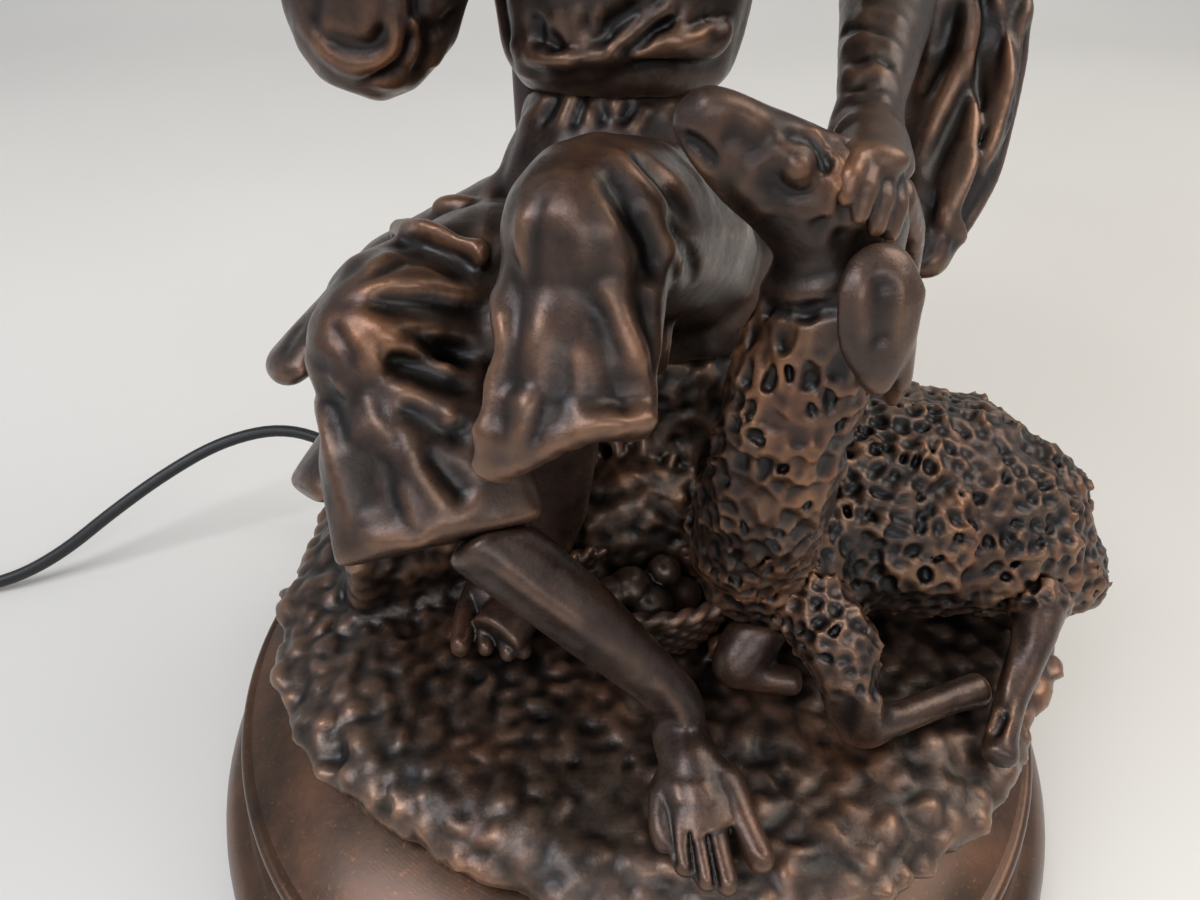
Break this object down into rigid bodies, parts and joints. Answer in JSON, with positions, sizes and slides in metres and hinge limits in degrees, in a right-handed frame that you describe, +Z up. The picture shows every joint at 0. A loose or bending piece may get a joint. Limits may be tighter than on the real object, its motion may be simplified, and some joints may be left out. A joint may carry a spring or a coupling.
{
  "type": "figural table lamp",
  "caption": "Table lamp on a cast foot with a seated figure and a resting sheep, a pole behind them, a screw lampholder and a tapered fabric shade.",
  "frame": {"origin": "middle of the foot's underside, on the table", "axes": "+Z up, front of the figure towards -Y, +X to the viewer's right"},
  "size_m": [0.5293, 0.3882, 0.6217],
  "materials": {
    "patinated_bronze": "patinated",
    "pole_lacquer": "satin",
    "steel": "brushed",
    "felt": "matt",
    "rubber": "matt",
    "cord_vinyl": "satin",
    "brass": "satin",
    "porcelain": "glazed",
    "switch_plastic": "gloss",
    "bulb_metal": "satin",
    "clear_glass": "clear",
    "filament": "matt",
    "shade_fabric": "woven",
    "shade_binding": "woven"
  },
  "bodies": {
    "lamp": {"base_felt": "felt", "base_plate": "steel", "basket_fruit": "patinated_bronze", "centre_contact": "brass", "cord_bush": "rubber", "cord_coil": "cord_vinyl", "cord_free": "cord_vinyl", "cord_tail": "cord_vinyl", "foot_casting": "patinated_bronze", "fruit_basket": "patinated_bronze", "hair_casting": "patinated_bronze", "head_casting": "patinated_bronze", "holder_cap": "brass", "holder_insert": "porcelain", "holder_shell": "brass", "inner_cord": "cord_vinyl", "lamp_pole": "pole_lacquer", "left_arm": "patinated_bronze", "left_leg": "patinated_bronze", "neck_dowel": "steel", "plate_screws": "steel", "plug_body": "cord_vinyl", "plug_pins": "brass", "pole_cap": "pole_lacquer", "pole_collar": "pole_lacquer", "pole_nut": "steel", "pole_washer": "steel", "right_arm": "patinated_bronze", "right_leg": "patinated_bronze", "rock_bolt_washers": "steel", "rock_bolts": "steel", "rock_casting": "patinated_bronze", "screw_shell": "brass", "seat_dowel": "steel", "shawl": "patinated_bronze", "sheep_body": "patinated_bronze", "sheep_dowels": "steel", "sheep_far_ear": "patinated_bronze", "sheep_folded_foreleg": "patinated_bronze", "sheep_foreleg": "patinated_bronze", "sheep_head": "patinated_bronze", "sheep_hind_leg": "patinated_bronze", "sheep_near_ear": "patinated_bronze", "skirt_casting": "patinated_bronze", "terminals": "steel", "threaded_tube": "steel", "torso_casting": "patinated_bronze", "waist_dowel": "steel"},
    "switch": {"switch_bar": "switch_plastic"},
    "lamp_bulb": {"bulb_cap": "bulb_metal", "bulb_glass": "clear_glass", "bulb_stem": "clear_glass", "filaments": "filament"},
    "ring": {"shade_ring": "brass"},
    "shade": {"shade_fitter": "steel", "shade_top_hoop": "steel", "shade_cover": "shade_fabric", "shade_lower_trim": "shade_binding", "shade_upper_trim": "shade_binding"}
  },
  "joints": [
    {"name": "switch_push", "type": "slide", "parent": "lamp", "child": "switch", "axis": [1, 0, 0], "range_m": [0, 0.005]},
    {"name": "bulb_turn", "type": "hinge", "parent": "lamp", "child": "lamp_bulb", "pos_m": [-0.029, 0.08, 0.469], "axis": [0, 0, 1], "continuous": true},
    {"name": "ring_turn", "type": "hinge", "parent": "lamp", "child": "ring", "pos_m": [-0.029, 0.08, 0.4612], "axis": [0, 0, 1], "continuous": true},
    {"name": "shade_turn", "type": "hinge", "parent": "lamp", "child": "shade", "pos_m": [-0.029, 0.08, 0.4592], "axis": [0, 0, 1], "continuous": true}
  ]
}
